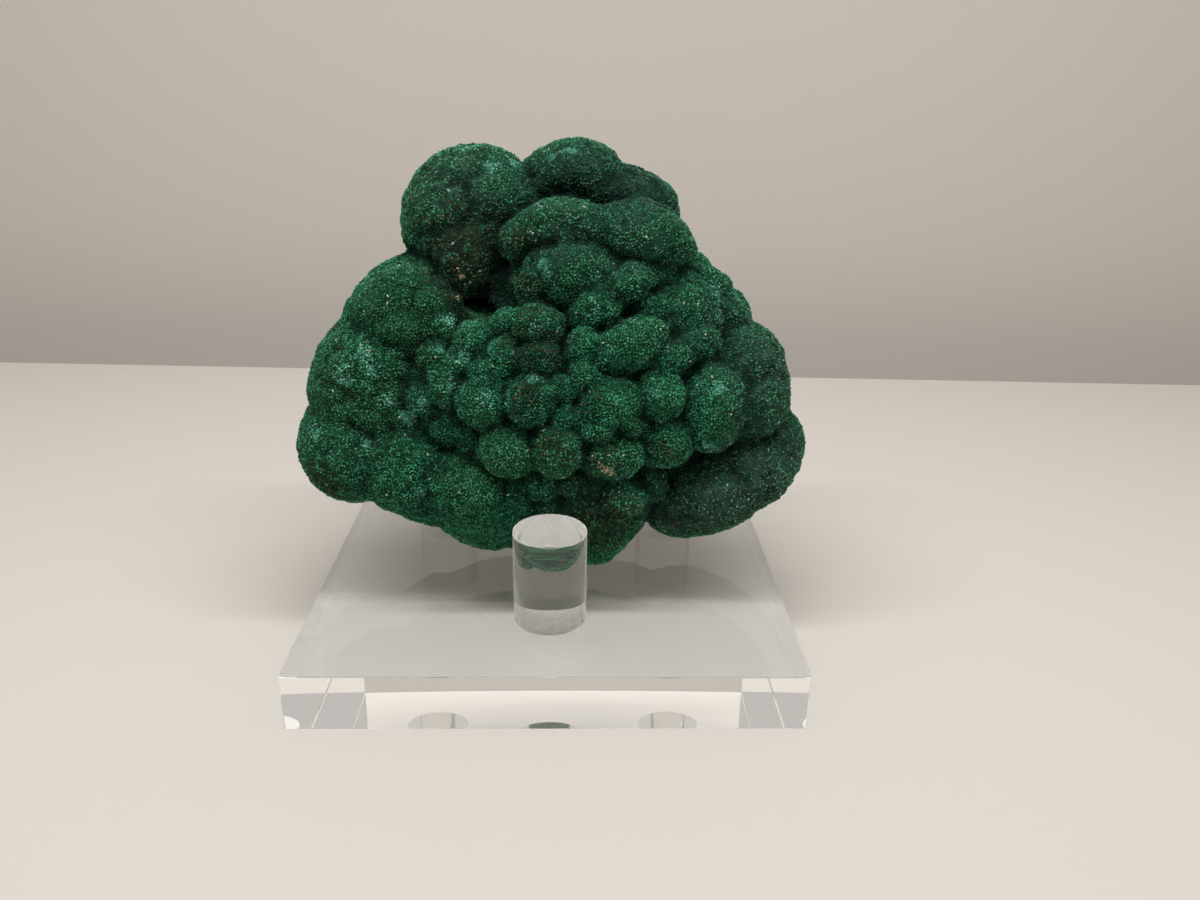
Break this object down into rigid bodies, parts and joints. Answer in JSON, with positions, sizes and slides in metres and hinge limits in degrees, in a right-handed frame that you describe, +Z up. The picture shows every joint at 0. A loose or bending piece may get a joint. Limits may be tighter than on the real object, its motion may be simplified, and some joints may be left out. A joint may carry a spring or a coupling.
{
  "type": "malachite specimen on display stand",
  "caption": "Knobbly botryoidal malachite lump resting on the short round pegs of a clear square display base.",
  "frame": {"origin": "centre of the base slab's underside, on the surface that it stands on", "axes": "+Z up, -Y towards the stone's knobbly face and the front peg, +X to the right seen from the front"},
  "size_m": [0.1123, 0.1, 0.103],
  "materials": {
    "malachite": "natural velvety crust of fine grains, dull with small sparkles",
    "clear_acrylic": "clear acrylic, polished on all faces"
  },
  "bodies": {
    "root": {"malachite_stone": "malachite", "base_slab": "clear_acrylic", "peg_front": "clear_acrylic", "peg_back_left": "clear_acrylic", "peg_back_right": "clear_acrylic"}
  },
  "joints": []
}
